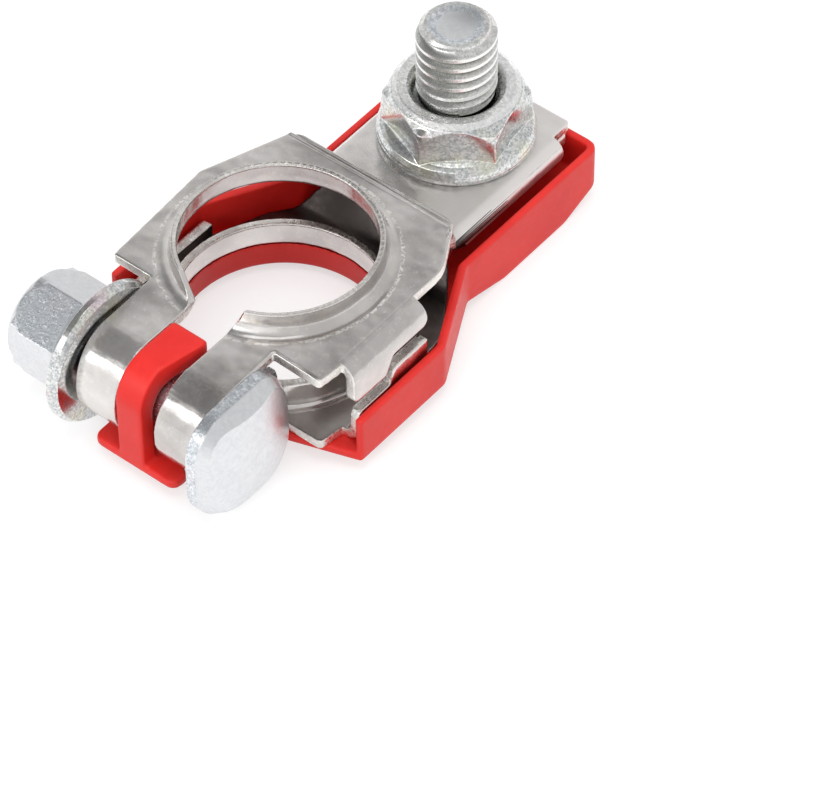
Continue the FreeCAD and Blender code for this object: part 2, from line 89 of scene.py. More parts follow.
def add_camera():
    azimuth = math.radians(39.376)
    elevation = math.radians(47.902)
    roll = math.radians(-0.52)
    focal_px = 4702.349
    distance = 432.399 * mm
    frame_width_px = 826
    frame_height_px = 800
    rim_px = Vector((278.082, 236.591))
    rim_centre = Vector((0, 0, rim_z))
    toward = Vector(
        (
            math.sin(azimuth) * math.cos(elevation),
            -math.cos(azimuth) * math.cos(elevation),
            math.sin(elevation),
        )
    )
    level = Vector((math.cos(azimuth), math.sin(azimuth), 0))
    upward = toward.cross(level)
    right = level * math.cos(roll) + upward * math.sin(roll)
    up = upward * math.cos(roll) - level * math.sin(roll)
    across = (rim_px.x - frame_width_px / 2) / focal_px * distance
    down = (rim_px.y - frame_height_px / 2) / focal_px * distance
    place = rim_centre - right * across + up * down + toward * distance
    data = bpy.data.cameras.new("camera")
    data.sensor_fit = "HORIZONTAL"
    data.sensor_width = 36.0
    data.lens = focal_px / frame_width_px * data.sensor_width
    data.clip_start = 0.01
    data.clip_end = 10.0
    camera = bpy.data.objects.new("camera", data)
    turn = Matrix((right, up, toward)).transposed().to_4x4()
    camera.matrix_world = Matrix.Translation(place) @ turn
    bpy.context.scene.collection.objects.link(camera)
    bpy.context.scene.camera = camera


# Shader nodes

def new_material(name):
    material = bpy.data.materials.new(name)
    material.use_nodes = True
    tree = material.node_tree
    tree.nodes.clear()
    return material, tree


def add(tree, kind, **settings):
    made = tree.nodes.new(kind)
    for key, value in settings.items():
        setattr(made, key, value)
    return made


def join(tree, source, target):
    tree.links.new(source, target)


def new_group(name, inputs, outputs):
    """A shader group; inputs are (name, socket kind, default) and outputs (name, socket kind)."""
    group = bpy.data.node_groups.new(name, "ShaderNodeTree")
    for label, kind, default in inputs:
        socket = group.interface.new_socket(label, in_out="INPUT", socket_type=kind)
        socket.default_value = default
    for label, kind in outputs:
        group.interface.new_socket(label, in_out="OUTPUT", socket_type=kind)
    return group, group.nodes.new("NodeGroupInput"), group.nodes.new("NodeGroupOutput")


def place_group(tree, group, **values):
    made = tree.nodes.new("ShaderNodeGroup")
    made.node_tree = group
    for label, value in values.items():
        made.inputs[label.replace("_", " ")].default_value = value
    return made


def math_node(tree, operation, first, second=None):
    made = add(tree, "ShaderNodeMath", operation=operation)
    for socket, value in zip(made.inputs, (first, second)):
        if value is None:
            continue
        if isinstance(value, (int, float)):
            socket.default_value = value
        else:
            join(tree, value, socket)
    return made.outputs[0]


def times(tree, first, second):
    return math_node(tree, "MULTIPLY", first, second)


def remap(tree, value, low, high, to_low, to_high):
    """The value's run from low to high, spread from to_low to to_high and held there beyond."""
    made = add(tree, "ShaderNodeMapRange", clamp=True)
    join(tree, value, made.inputs["Value"])
    made.inputs["From Min"].default_value = low
    made.inputs["From Max"].default_value = high
    made.inputs["To Min"].default_value = to_low
    made.inputs["To Max"].default_value = to_high
    return made.outputs["Result"]


def blend_colours(tree, factor, first, second):
    made = add(tree, "ShaderNodeMix", data_type="RGBA")
    factor_socket, first_socket, second_socket = made.inputs[0], made.inputs[6], made.inputs[7]
    for socket, value in ((factor_socket, factor), (first_socket, first), (second_socket, second)):
        if isinstance(value, tuple):
            socket.default_value = (*value, 1.0)
        else:
            join(tree, value, socket)
    return made.outputs[2]


FLOAT = "NodeSocketFloat"


def spangle_group():
    """Small crystals of a plated surface: their tone, their painted glints and relief."""
    group, inside, outside = new_group(
        "plating_spangle",
        [("Grain mm", FLOAT, 0.25), ("Seed", FLOAT, 0.0)],
        [("Tone", FLOAT), ("Glints", FLOAT), ("Relief", FLOAT)],
    )
    place = add(group, "ShaderNodeTexCoord")
    scale = math_node(group, "DIVIDE", 1000.0, inside.outputs["Grain mm"])
    cells = add(group, "ShaderNodeTexVoronoi", voronoi_dimensions="4D")
    join(group, place.outputs["Object"], cells.inputs["Vector"])
    join(group, inside.outputs["Seed"], cells.inputs["W"])
    join(group, scale, cells.inputs["Scale"])
    split = add(group, "ShaderNodeSeparateColor")
    join(group, cells.outputs["Color"], split.inputs["Color"])
    cloud = add(group, "ShaderNodeTexNoise", noise_dimensions="4D")
    join(group, place.outputs["Object"], cloud.inputs["Vector"])
    join(group, inside.outputs["Seed"], cloud.inputs["W"])
    join(group, times(group, scale, 0.45), cloud.inputs["Scale"])
    cloud.inputs["Detail"].default_value = 4.0
    crystal = times(group, split.outputs["Red"], 0.45)
    tone = math_node(group, "ADD", crystal, times(group, cloud.outputs["Fac"], 0.55))
    join(group, tone, outside.inputs["Tone"])
    # Painted glints: bright spots of colour where a crystal would catch the light.
    patch = remap(group, cloud.outputs["Fac"], 0.5, 0.62, 0.0, 1.0)
    painted_highlight = remap(group, split.outputs["Green"], 0.8, 0.9, 0.0, 1.0)
    join(group, times(group, patch, painted_highlight), outside.inputs["Glints"])
    join(group, math_node(group, "ADD", cells.outputs["Distance"], tone), outside.inputs["Relief"])
    return group


def cloud_group():
    """Broad soft patches, as handling and plating leave them."""
    group, inside, outside = new_group(
        "soft_clouds",
        [("Size mm", FLOAT, 4.0), ("Seed", FLOAT, 0.0)],
        [("Clouds", FLOAT), ("Fine", FLOAT)],
    )
    place = add(group, "ShaderNodeTexCoord")
    scale = math_node(group, "DIVIDE", 1000.0, inside.outputs["Size mm"])
    for label, factor, detail in (("Clouds", 1.0, 3.0), ("Fine", 9.0, 5.0)):
        cloud = add(group, "ShaderNodeTexNoise", noise_dimensions="4D")
        join(group, place.outputs["Object"], cloud.inputs["Vector"])
        join(group, inside.outputs["Seed"], cloud.inputs["W"])
        join(group, times(group, scale, factor), cloud.inputs["Scale"])
        cloud.inputs["Detail"].default_value = detail
        join(group, cloud.outputs["Fac"], outside.inputs[label])
    return group


SPANGLE = spangle_group()
CLOUDS = cloud_group()


def surface(tree, colour, roughness, height, relief_mm, metallic=1.0):
    """The finished surface: colour, roughness and a relief of that height."""
    shader = add(tree, "ShaderNodeBsdfPrincipled")
    shader.inputs["Metallic"].default_value = metallic
    join(tree, colour, shader.inputs["Base Color"])
    join(tree, roughness, shader.inputs["Roughness"])
    bump = add(tree, "ShaderNodeBump")
    bump.inputs["Strength"].default_value = 1.0
    bump.inputs["Distance"].default_value = relief_mm * mm
    join(tree, height, bump.inputs["Height"])
    join(tree, bump.outputs["Normal"], shader.inputs["Normal"])
    output = add(tree, "ShaderNodeOutputMaterial")
    join(tree, shader.outputs["BSDF"], output.inputs["Surface"])
    return shader


def object_place(tree):
    """The x, y and z of a spot on the piece."""
    place = add(tree, "ShaderNodeTexCoord")
    split = add(tree, "ShaderNodeSeparateXYZ")
    join(tree, place.outputs["Object"], split.inputs[0])
    return split.outputs["X"], split.outputs["Y"], split.outputs["Z"]


def distance_from(tree, x, y, centre_y=0.0):
    """Distance from an upright axis at (0, centre_y)."""
    flat = add(tree, "ShaderNodeCombineXYZ")
    join(tree, x, flat.inputs[0])
    join(tree, math_node(tree, "SUBTRACT", y, centre_y), flat.inputs[1])
    length = add(tree, "ShaderNodeVectorMath", operation="LENGTH")
    join(tree, flat.outputs[0], length.inputs[0])
    return length.outputs["Value"]


def tin_plating():
    """Satin tin on the sheet, gently wavy, with a painted highlight line round the collar's root
    and painted light on the seat, stronger to its right.
    """
    material, tree = new_material("tin_plating")
    clouds = place_group(tree, CLOUDS, Size_mm=9.0, Seed=1.0)
    spangle = place_group(tree, SPANGLE, Grain_mm=0.2, Seed=1.0)
    soft = remap(tree, clouds.outputs["Clouds"], 0.36, 0.62, 0.0, 1.0)
    colour = blend_colours(tree, soft, (0.50, 0.475, 0.465), (0.78, 0.755, 0.74))
    warm = remap(tree, clouds.outputs["Fine"], 0.5, 0.7, 0.0, 0.3)
    colour = blend_colours(tree, warm, colour, (0.78, 0.71, 0.60))
    x, y, z = object_place(tree)
    # Painted highlight: a thin bright line on the plate's top along the collar's root, grainy with
    # the crystals.
    from_root = math_node(tree, "SUBTRACT", distance_from(tree, x, y), collar_root_radius)
    from_root = math_node(tree, "ABSOLUTE", from_root)
    root_highlight = remap(tree, from_root, 0.10 * mm, 0.24 * mm, 1.0, 0.0)
    root_highlight = times(tree, root_highlight, remap(tree, spangle.outputs["Tone"], 0.46, 0.54, 0.0, 1.0))
    on_top = remap(tree, z, upper_top_z - 0.2 * mm, upper_top_z - 0.1 * mm, 0.0, 0.75)
    root_highlight = times(tree, root_highlight, on_top)
    # Painted glints and the root's painted highlight, blended towards near white.
    painted_highlight = math_node(tree, "MAXIMUM", times(tree, spangle.outputs["Glints"], 0.2), root_highlight)
    colour = blend_colours(tree, painted_highlight, colour, (1.0, 0.98, 0.93))
    # Painted light: the seat is painted paler, more so towards its right side; it is also rougher
    # there.
    past_step = remap(tree, y, 14.5 * mm, 16.5 * mm, 0.0, 1.0)
    to_right = remap(tree, x, -4.0 * mm, 6.0 * mm, 0.15, 1.0)
    seat_painted_light = times(tree, past_step, to_right)
    colour = blend_colours(tree, times(tree, seat_painted_light, 0.75), colour, (0.96, 0.92, 0.90))
    rough = remap(tree, spangle.outputs["Tone"], 0.3, 0.7, 0.26, 0.18)
    rough = math_node(tree, "ADD", rough, times(tree, seat_painted_light, 0.2))
    waves_mm = times(tree, clouds.outputs["Clouds"], 0.75)
    grain_mm = times(tree, spangle.outputs["Relief"], 0.0014)
    surface(tree, colour, rough, math_node(tree, "ADD", waves_mm, grain_mm), 1.0)
    return material


def pocket_shaded_tin():
    """Inner side of the pressing in painted shade: dull, darker than the plating, and painted
    almost black towards the pocket where the two sheets close up.
    """
    material, tree = new_material("pocket_shaded_tin")
    clouds = place_group(tree, CLOUDS, Size_mm=5.0, Seed=9.0)
    soft = remap(tree, clouds.outputs["Clouds"], 0.36, 0.62, 0.0, 1.0)
    colour = blend_colours(tree, soft, (0.34, 0.305, 0.29), (0.50, 0.465, 0.445))
    x, y, _ = object_place(tree)
    # Painted shade: the ramp at the back of the pocket and the inside at the left flange go almost
    # black.
    to_ramp = remap(tree, y, 7.5 * mm, 11.5 * mm, 0.0, 0.96)
    to_left_flange = remap(tree, x, -8.0 * mm, -6.0 * mm, 0.75, 0.0)
    depth = math_node(tree, "MAXIMUM", to_ramp, to_left_flange)
    colour = blend_colours(tree, depth, colour, (0.045, 0.038, 0.036))
    rough = remap(tree, clouds.outputs["Fine"], 0.3, 0.7, 0.28, 0.42)
    surface(tree, colour, rough, clouds.outputs["Fine"], 0.004)
    return material


def sheared_edge_highlight():
    """Cut edges of the sheet: torn, in their own pale grey painted brighter as an edge highlight,
    with painted glints.
    """
    material, tree = new_material("sheared_edge_highlight")
    clouds = place_group(tree, CLOUDS, Size_mm=2.2, Seed=2.0)
    spangle = place_group(tree, SPANGLE, Grain_mm=0.24, Seed=2.0)
    soft = remap(tree, clouds.outputs["Clouds"], 0.38, 0.62, 0.0, 1.0)
    colour = blend_colours(tree, soft, (0.64, 0.61, 0.58), (0.90, 0.88, 0.84))
    painted_highlight = times(tree, spangle.outputs["Glints"], 0.95)
    colour = blend_colours(tree, painted_highlight, colour, (1.0, 0.99, 0.96))
    rough = remap(tree, spangle.outputs["Tone"], 0.3, 0.7, 0.5, 0.25)
    surface(tree, colour, rough, spangle.outputs["Relief"], 0.022)
    return material


def zinc_plating(
    name, dark, light, seed, tints, grain_mm, glint_strength, roughness, relief_mm, grooves=False
):
    """Bright zinc with faint yellow and rose tints, a grain of small crystals and painted glints
    on them.

    With grooves, the stud's thread gets painted shade at its root and a painted highlight at its
    crest.
    """
    material, tree = new_material(name)
    yellow_clouds = place_group(tree, CLOUDS, Size_mm=4.0, Seed=seed)
    rose_clouds = place_group(tree, CLOUDS, Size_mm=4.6, Seed=seed + 7.0)
    spangle = place_group(tree, SPANGLE, Grain_mm=grain_mm, Seed=seed)
    soft = remap(tree, spangle.outputs["Tone"], 0.3, 0.68, 0.0, 1.0)
    colour = blend_colours(tree, soft, dark, light)
    yellow = remap(tree, yellow_clouds.outputs["Clouds"], 0.50, 0.64, 0.0, tints)
    colour = blend_colours(tree, yellow, colour, (0.80, 0.78, 0.56))
    rose = remap(tree, rose_clouds.outputs["Clouds"], 0.54, 0.66, 0.0, tints)
    colour = blend_colours(tree, rose, colour, (0.82, 0.58, 0.66))
    # Painted glints on the crystals.
    painted_highlight = times(tree, spangle.outputs["Glints"], glint_strength)
    colour = blend_colours(tree, painted_highlight, colour, (0.98, 0.99, 1.0))
    if grooves:
        x, y, z = object_place(tree)
        radius = distance_from(tree, x, y, stud_y)
        chamfer_z = stud_top_z - stud_chamfer
        # Painted shade in the root of the thread, below the end's chamfer.
        thread_root_shade = remap(tree, radius, 3.35 * mm, 3.75 * mm, 0.75, 0.0)
        thread_root_shade = times(tree, thread_root_shade, remap(tree, z, chamfer_z - 0.2 * mm, chamfer_z, 1.0, 0.0))
        colour = blend_colours(tree, thread_root_shade, colour, (0.16, 0.16, 0.14))
        # Painted highlight along the thread's crest.
        crest = remap(tree, radius, 3.80 * mm, 3.88 * mm, 0.0, 0.8)
        colour = blend_colours(tree, crest, colour, (0.97, 0.97, 0.95))
    smooth, rough = roughness
    tone_rough = remap(tree, spangle.outputs["Tone"], 0.3, 0.7, rough, smooth)
    surface(tree, colour, tone_rough, spangle.outputs["Relief"], relief_mm)
    return material


def moulded_red():
    """Semi-gloss red plastic, a little scuffed."""
    material, tree = new_material("moulded_red_plastic")
    clouds = place_group(tree, CLOUDS, Size_mm=5.0, Seed=4.0)
    soft = remap(tree, clouds.outputs["Clouds"], 0.35, 0.65, 0.0, 1.0)
    colour = blend_colours(tree, soft, (0.74, 0.017, 0.013), (0.82, 0.027, 0.020))
    scuffs = remap(tree, clouds.outputs["Fine"], 0.5, 0.72, 0.0, 0.16)
    colour = blend_colours(tree, scuffs, colour, (0.86, 0.06, 0.055))
    rough = remap(tree, clouds.outputs["Fine"], 0.3, 0.7, 0.38, 0.5)
    shader = surface(tree, colour, rough, clouds.outputs["Fine"], 0.004, metallic=0.0)
    shader.inputs["IOR"].default_value = 1.49
    shader.inputs["Specular IOR Level"].default_value = 0.45
    return material


# Meshes

def mesh_piece(name, mesh, materials, body, replaced):
    """A visible piece that rides on its body in place of its solid."""
    piece = bpy.data.objects.new(name, mesh)
    bpy.context.scene.collection.objects.link(piece)
    for material in materials:
        mesh.materials.append(material)
    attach(piece, body)
    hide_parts(replaced)
    return piece


def joined_solid(node):
    """The node's own mesh with its corners joined."""
    bm = bmesh.new()
    bm.from_mesh(nodes[node].data)
    bmesh.ops.remove_doubles(bm, verts=bm.verts, dist=0.0015 * mm)
    return bm


def worn_solid(node, voxel, passes, triangles, fill=None, reshape=None):
    """The node's solid with its edges rounded, as tumbling, plating and moulding leave them.

    fill(bm) adds closed shapes that grow together with it, and reshape(point) moves a point in
    place. Nothing comes out of the solid's own box.
    """
    bm = joined_solid(node)
    if fill:
        fill(bm)
    mesh = bpy.data.meshes.new(node + "_sharp")
    bm.to_mesh(mesh)
    bm.free()
    block = bpy.data.objects.new(node + "_sharp", mesh)
    bpy.context.scene.collection.objects.link(block)
    skin = block.modifiers.new("skin", "REMESH")
    skin.mode = "VOXEL"
    skin.voxel_size = voxel
    wear = block.modifiers.new("wear", "SMOOTH")
    wear.factor = 0.5
    wear.iterations = passes
    depsgraph = bpy.context.evaluated_depsgraph_get()
    count = 2 * len(block.evaluated_get(depsgraph).data.polygons)
    thin = block.modifiers.new("thin", "DECIMATE")
    thin.ratio = min(1.0, triangles / count)
    depsgraph = bpy.context.evaluated_depsgraph_get()
    worn = bpy.data.meshes.new_from_object(block.evaluated_get(depsgraph))
    bpy.data.objects.remove(block)
    low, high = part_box(node)
    for vert in worn.vertices:
        if reshape:
            reshape(vert.co)
        for axis in range(3):
            vert.co[axis] = min(max(vert.co[axis], low[axis]), high[axis])
    for face in worn.polygons:
        face.use_smooth = True
    worn.materials.clear()
    worn.name = node + "_worn"
    return worn


def closed_ring(bm, profile, place, outline=None, columns=96):
    """A closed ring of (radius, along) corners, given anticlockwise about its axis.

    place(a, b, along) puts a point in the frame; outline(angle) gives the radius where it is None.
    """
    rings = []
    for radius, along in profile:
        ring = []
        for i in range(columns):
            angle = 2 * math.pi * i / columns
            reach = outline(angle) if radius is None else radius
            spot = place(reach * math.cos(angle), reach * math.sin(angle), along)
            ring.append(bm.verts.new(spot))
        rings.append(ring)
    for below, above in zip(rings, rings[1:] + rings[:1]):
        for i in range(columns):
            j = (i + 1) % columns
            bm.faces.new((below[i], below[j], above[j], above[i]))


def in_mm(profile):
    """The profile's pairs in metres; a radius of None stays as it is."""
    return [(radius and radius * mm, along * mm) for radius, along in profile]


def hexagon(flats, turn, largest):
    """Outline of a hexagon with one corner at the turn, in degrees, and its corners rounded off.

    flats is the width across flats and largest the radius of the rounding.
    """
    def outline(angle):
        off = (math.degrees(angle) - turn) % 60 - 30
        return min(flats / 2 / math.cos(math.radians(off)), largest)

    return outline


def share(value, start, end):
    """How far a value has come from start to end, from 0 to 1."""
    return min(1.0, max(0.0, (value - start) / (end - start)))


def even_shading(piece):
    normals = piece.modifiers.new("even_shading", "WEIGHTED_NORMAL")
    normals.weight = 70
    normals.keep_sharp = False


def mark_sheet_faces(mesh):
    """Finish or painted shade of each face of the pressing, by its place in the sheet's list of
    materials.
    """
    plated, sheared, painted_pocket_shade = range(3)
    bm = joined_solid("clamp_body")
    bmesh.ops.triangulate(bm, faces=bm.faces)
    bm.faces.ensure_lookup_table()
    tree = bvhtree.BVHTree.FromBMesh(bm)
    across = []
    for face in bm.faces:
        start = face.calc_center_median() - face.normal * 0.01 * mm
        thickness = tree.ray_cast(start, -face.normal)[3]
        across.append(thickness is None or thickness > sheet * 1.3)
    for face in mesh.polygons:
        spot = face.center
        solid_face = tree.find_nearest(spot)[2]
        on_seat = spot.y > seat_front_y and face.normal.z > 0.6
        off_collar = math.hypot(spot.x, spot.y) > collar_root_radius
        past_ears = bolt_y + 6.7 * mm < spot.y < 20 * mm and abs(spot.x) < 13.0 * mm
        in_pocket = past_ears and off_collar and spot.z < upper_under_z and face.normal.y < 0.3
        if on_seat:
            face.material_index = plated
        elif across[solid_face]:
            face.material_index = sheared
        # Faces inside the pocket get the pocket's painted shade.
        elif in_pocket:
            face.material_index = painted_pocket_shade
        else:
            face.material_index = plated
    bm.free()


def shape_ear(point):
    """The left ear's end stands off its nut, most at its front."""
    at_end = 1 - share(point.x, ear_left_x, ear_left_x + 1.4 * mm)
    on_ear = share(point.y, -9.5 * mm, -10.7 * mm)
    lowness = 1 - share(point.z, bolt_z + 1.0 * mm, bolt_z + 4.5 * mm)
    gap = 0.25 * mm + 0.4 * mm * lowness
    point.x += gap * on_ear * at_end


def shape_swell(point, radius):
    """The plate swells beside the collar at its right front."""
    root, crest, edge = 10.9 * mm, 11.9 * mm, 13.7 * mm
    if point.z > upper_under_z - 0.2 * mm and root < radius < edge:
        angle = math.degrees(math.atan2(point.y, point.x))
        swell = share(angle, -66, -52) * (1 - share(angle, -5, 25))
        swell *= share(radius, root, crest) * (1 - share(radius, crest, edge))
        point.z += 0.36 * mm * swell


def shape_step_lines(point):
    """Two raised lines and a groove that the press leaves along the step."""
    if point.z > upper_top_z - 0.5 * mm and 11.0 * mm < point.y < 14.5 * mm:
        along = point.y - 12.75 * mm + 0.06 * point.x
        line_width = 0.17 * mm
        marks = ((-0.45, 0.12), (-0.05, -0.2), (0.4, 0.1))
        for centre, height in in_mm(marks):
            point.z += height * math.exp(-(((along - centre) / line_width) ** 2))


def shape_jaw_ends(point, radius):
    """The upper collar's ends are cut slantwise at the jaw."""
    rise = share(point.z, upper_top_z + 0.1 * mm, rim_z)
    if rise > 0 and point.y < 0 and radius < 11.3 * mm:
        angle = math.atan2(point.y, point.x)
        right_end = -math.acos(jaw_right_x / radius)
        left_end = -math.acos(jaw_left_x / radius)
        if angle > right_end - 0.05:
            slide, reach = 0.95 * mm, 3.5 * mm
            from_end = (angle - right_end) * radius
        else:
            slide, reach = -2.6 * mm, 7.0 * mm
            from_end = (left_end - angle) * radius
        turn = rise * slide * (1 - share(from_end, 0.0, reach)) / radius
        point.x = radius * math.cos(angle + turn)
        point.y = radius * math.sin(angle + turn)


def shape_sheet(point):
    shape_ear(point)
    radius = math.hypot(point.x, point.y)
    shape_swell(point, radius)
    shape_step_lines(point)
    shape_jaw_ends(point, radius)


def clamp_sheet():
    mesh = worn_solid(
        "clamp_body", voxel=0.11 * mm, passes=6, triangles=150000, reshape=shape_sheet
    )
    mark_sheet_faces(mesh)
    even_shading(
        mesh_piece("pressed_clamp", mesh, SHEET_FINISHES_AND_SHADE, "clamp", "clamp_body")
    )


def ring_bead(bm):
    """Rounded bead under the cover's post hole."""
    profile = ((9.96, 2.0), (9.96, 1.1), (10.1, 0.9), (10.4, 0.82), (10.8, 1.0), (10.9, 2.0))
    closed_ring(bm, in_mm(profile), lambda a, b, along: (a, b, base_z + along))


def shape_strap(point):
    """The hooked strap widens a little towards its tip."""
    left_x, right_x = -2.0 * mm, 1.1 * mm
    across = left_x - 0.3 * mm < point.x < right_x + 0.3 * mm
    if across and point.z > bolt_z + 1.5 * mm and point.y < -12.0 * mm:
        to_tip = share(point.y, -18.0 * mm, -13.5 * mm)
        point.x += 1.0 * mm * to_tip * share(point.x, left_x, right_x)


def cover():
    mesh = worn_solid(
        "insulating_cover",
        voxel=0.12 * mm,
        passes=32,
        triangles=120000,
        fill=ring_bead,
        reshape=shape_strap,
    )
    even_shading(
        mesh_piece("moulded_cover", mesh, [RED], "clamp", "insulating_cover")
    )


def zinc_solid(node, **shaping):
    """A solid with the slight wear that the zinc-plated pieces share."""
    return worn_solid(node, voxel=0.075 * mm, passes=5, triangles=80000, **shaping)


def cable_nut():
    """Flange nut of the cable stud, with a domed skirt, full corners and a rough upper end."""
    def place(a, b, along):
        return (a, stud_y + b, nut_top_z - nut_height + along)

    def fill(bm):
        lower = ((5.0, 0.3), (7.6, 0.3), (7.66, 1.15), (7.4, 1.7))
        upper = ((7.0, 2.0), (6.3, 2.25), (5.0, 2.3))
        closed_ring(bm, in_mm(lower + upper), place)
        corners = ((5.3, 2.0), (None, 2.0), (None, 5.35), (6.25, 5.9), (5.3, 5.9))
        outline = hexagon(flats=12.5 * mm, turn=39.0, largest=7.12 * mm)
        closed_ring(bm, in_mm(corners), place, outline, columns=360)

    mesh = zinc_solid("cable_nut", fill=fill)
    plain, sparkling = range(2)
    for face in mesh.polygons:
        radius = math.hypot(face.center.x, face.center.y - stud_y)
        on_end = face.center.z > nut_top_z - 0.4 * mm and radius > 4.2 * mm
        face.material_index = sparkling if on_end else plain
    finishes = [ZINC, ZINC_SPARKLING]
    even_shading(
        mesh_piece("cable_flange_nut", mesh, finishes, "cable_nut", "cable_nut")
    )


def clamp_nut():
    """Flange nut of the clamp bolt; one flat keeps the speckled skin of the blank."""
    def place(a, b, along):
        return (ear_left_x - along, bolt_y + b, bolt_z + a)

    def fill(bm):
        corners = ((4.2, 2.0), (None, 2.0), (None, 7.9), (4.2, 7.9))
        outline = hexagon(flats=9.3 * mm, turn=-3.0, largest=5.2 * mm)
        closed_ring(bm, in_mm(corners), place, outline, columns=360)

    mesh = zinc_solid("clamp_nut", fill=fill)
    white, speckled, plain = range(3)
    speckled_way = Vector((0, -0.5, 0.866))
    for face in mesh.polygons:
        outside = math.hypot(face.center.y - bolt_y, face.center.z - bolt_z) > 4.0 * mm
        if outside and face.center.x > ear_left_x - 1.6 * mm:
            face.material_index = plain
        elif outside and face.normal.dot(speckled_way) > 0.96:
            face.material_index = speckled
        else:
            face.material_index = white
    finishes = [ZINC_WHITE, ZINC_ROUGH, ZINC]
    even_shading(
        mesh_piece("clamp_flange_nut", mesh, finishes, "clamp_nut", "clamp_nut")
    )


def trim_head(point):
    """The head's far side is drawn in, as far as its face shows."""
    if point.x > ear_right_x and point.y > bolt_y:
        point.y = bolt_y + (point.y - bolt_y) * 0.83


def clamp_bolt():
    """Bolt with its domed head, which has a speckled band next to the ear."""
    mesh = zinc_solid("t_bolt", reshape=trim_head)
    white, speckled = range(2)
    for face in mesh.polygons:
        on_band = face.center.x < ear_right_x + head_band - 0.1 * mm
        face.material_index = speckled if on_band else white
    finishes = [ZINC_WHITE, ZINC_ROUGH]
    even_shading(
        mesh_piece("clamp_bolt_piece", mesh, finishes, "clamp_bolt", "t_bolt")
    )


def thread_mesh(bm, crest, depth, pitch, low, high, cone, fade, columns=72):
    """A right-hand thread about +Z from low to high.

    It grows out of a plain rod over the fade, and cone(z) gives the largest radius at a height.
    """
    ridge = ((0.0, 0.0), (0.14, 0.0), (0.40, 1.0), (0.50, 1.12), (0.60, 1.0), (0.86, 0.0))
    turns = int((high - low) / pitch) + 2
    rows = []
    for turn in range(-1, turns):
        for along, sink in ridge:
            row = []
            for i in range(columns + 1):
                z = low + (turn + along + i / columns) * pitch
                radius = crest - depth * sink
                run = max(0.0, min(1.0, (z - low) / fade))
                radius = (crest - depth / 2) + (radius - crest + depth / 2) * run
                z = max(low, min(high, z))
                radius = min(radius, cone(z))
                angle = 2 * math.pi * i / columns
                row.append(bm.verts.new((radius * math.cos(angle), radius * math.sin(angle), z)))
            rows.append(row)
    for below, above in zip(rows, rows[1:]):
        for i in range(columns):
            bm.faces.new((below[i], below[i + 1], above[i + 1], above[i]))
    bmesh.ops.remove_doubles(bm, verts=bm.verts, dist=0.002 * mm)
    bmesh.ops.dissolve_degenerate(bm, edges=bm.edges, dist=0.001 * mm)


def lathe(bm, profile, columns=72):
    """Surface of revolution about +Z through (radius, z) points, closed on the axis."""
    rings = []
    for radius, z in profile:
        if radius < 1e-7:
            rings.append([bm.verts.new((0, 0, z))])
            continue
        ring = []
        for i in range(columns):
            angle = 2 * math.pi * i / columns
            ring.append(bm.verts.new((radius * math.cos(angle), radius * math.sin(angle), z)))
        rings.append(ring)
    for below, above in zip(rings, rings[1:]):
        for i in range(columns):
            j = (i + 1) % columns
            corners = [below[i % len(below)], below[j % len(below)]]
            corners += [above[j % len(above)], above[i % len(above)]]
            unique = list(dict.fromkeys(corners))
            if len(unique) > 2:
                bm.faces.new(unique)


def cable_stud():
    """Stud with its cut thread, dished end, neck and flat round head."""
    bm = bmesh.new()
    thread_bottom = nut_top_z - 0.95 * mm
    chamfer_z = stud_top_z - stud_chamfer

    def cone(z):
        return stud_radius - max(0.0, z - chamfer_z)

    thread_depth = 0.66 * mm
    pitch = 1.25 * mm
    fade = 0.8 * mm
    thread_mesh(bm, stud_radius, thread_depth, pitch, thread_bottom, stud_top_z, cone, fade)
    dish = ((0, 0.35), (0.6, 0.34), (1.3, 0.28), (1.9, 0.17), (2.4, 0.04), (2.7, 0))
    end = [(radius * mm, stud_top_z - sink * mm) for radius, sink in dish]
    lathe(bm, end + [(stud_radius - stud_chamfer, stud_top_z)])
    core = stud_radius - thread_depth / 2
    neck = 4.3 * mm
    head = ((6.4, 0), (6.5, 0.1), (6.5, 3.4), (5.9, 4.0), (0, 4.0))
    lower = [(core, thread_bottom), (core, seat_bottom_z)]
    lower += [(neck, seat_bottom_z), (neck, under_seat_z)]
    lower += [(radius * mm, under_seat_z - sink * mm) for radius, sink in head]
    lathe(bm, lower)
    bmesh.ops.remove_doubles(bm, verts=bm.verts, dist=0.004 * mm)
    bmesh.ops.recalc_face_normals(bm, faces=bm.faces)
    for vert in bm.verts:
        vert.co.y += stud_y
    for face in bm.faces:
        face.smooth = True
    mesh = bpy.data.meshes.new("cable_stud_thread")
    bm.to_mesh(mesh)
    bm.free()
    mesh.set_sharp_from_angle(angle=math.radians(34))
    plain, white, speckled = range(3)
    for face in mesh.polygons:
        radius = math.hypot(face.center.x, face.center.y - stud_y)
        if face.center.z > stud_top_z - 0.45 * mm and radius < 2.85 * mm:
            face.material_index = speckled if radius > 1.8 * mm else white
        else:
            face.material_index = plain
    finishes = [ZINC_STUD, ZINC_WHITE, ZINC_ROUGH]
    mesh_piece("threaded_cable_stud", mesh, finishes, "clamp", "cable_stud")


# Stage

